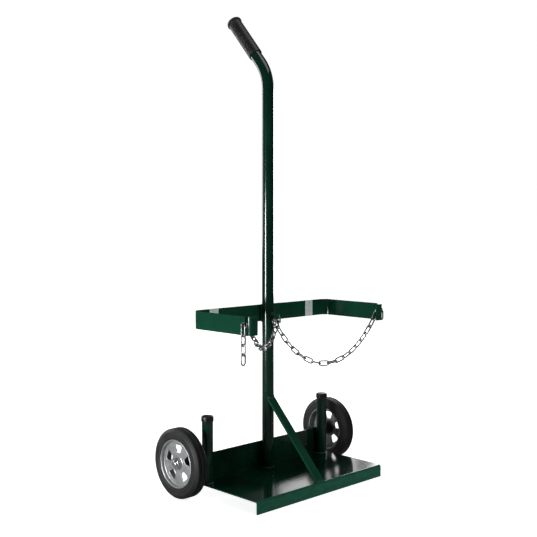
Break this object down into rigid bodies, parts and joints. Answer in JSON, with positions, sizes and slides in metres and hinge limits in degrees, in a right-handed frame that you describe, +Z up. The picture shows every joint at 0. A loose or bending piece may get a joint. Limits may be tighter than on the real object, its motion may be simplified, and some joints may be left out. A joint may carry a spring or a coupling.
{
  "type": "gas cylinder cart",
  "caption": "Upright two-wheeled hand cart for gas cylinders: bent deck, post with angled grip, braced cradle strap and hanging retaining chains.",
  "frame": {"origin": "on the floor under the middle of the cart's outline", "axes": "+Z up, +Y from the open front towards the wheels, +X to the right when seen from the front"},
  "size_m": [0.6002, 0.3536, 1.261],
  "materials": {
    "green_paint": "gloss",
    "black_rubber": "matte",
    "black_vinyl": "satin",
    "tyre_rubber": "matte",
    "hub_steel": "satin",
    "axle_steel": "satin",
    "zinc_plate": "bright",
    "zinc_chain": "bright"
  },
  "bodies": {
    "frame": {"deck": "green_paint", "post": "green_paint", "handle_grip": "black_rubber", "brace": "green_paint", "cradle_strap": "green_paint", "left_upright": "green_paint", "right_upright": "green_paint", "upright_caps": "black_vinyl", "axle": "axle_steel", "axle_brackets": "green_paint", "axle_spacers": "axle_steel", "axle_washers": "zinc_plate", "axle_caps": "zinc_plate", "chain_eye": "green_paint", "left_hook_link": "zinc_chain", "right_hook_link": "zinc_chain"},
    "left_wheel": {"left_tyre": "tyre_rubber", "left_wheel_hub": "hub_steel"},
    "left_chain": {"left_chain_span": "zinc_chain"},
    "left_tail": {"left_chain_tail": "zinc_chain"},
    "right_wheel": {"right_tyre": "tyre_rubber", "right_wheel_hub": "hub_steel"},
    "right_chain": {"right_chain_span": "zinc_chain"},
    "right_tail": {"right_chain_tail": "zinc_chain"}
  },
  "joints": [
    {"name": "left_wheel_spin", "type": "hinge", "parent": "frame", "child": "left_wheel", "pos_m": [-0.278, 0.05936, 0.089], "axis": [1, 0, 0], "continuous": true},
    {"name": "left_chain_swing", "type": "hinge", "parent": "frame", "child": "left_chain", "pos_m": [-0.24087, -0.15625, 0.4552], "axis": [-0.8525, -0.5179, 0.07], "range_deg": [-5, 20]},
    {"name": "left_tail_swing", "type": "hinge", "parent": "frame", "child": "left_tail", "pos_m": [-0.2582, -0.15484, 0.4492], "axis": [1, 0, 0], "range_deg": [-60, 60]},
    {"name": "right_wheel_spin", "type": "hinge", "parent": "frame", "child": "right_wheel", "pos_m": [0.278, 0.05936, 0.089], "axis": [1, 0, 0], "continuous": true},
    {"name": "right_chain_swing", "type": "hinge", "parent": "frame", "child": "right_chain", "pos_m": [0.24103, -0.15533, 0.4552], "axis": [-0.8355, 0.5457, -0.0644], "range_deg": [-5, 20]},
    {"name": "right_tail_swing", "type": "hinge", "parent": "frame", "child": "right_tail", "pos_m": [0.2582, -0.15484, 0.4492], "axis": [1, 0, 0], "range_deg": [-60, 60]}
  ]
}
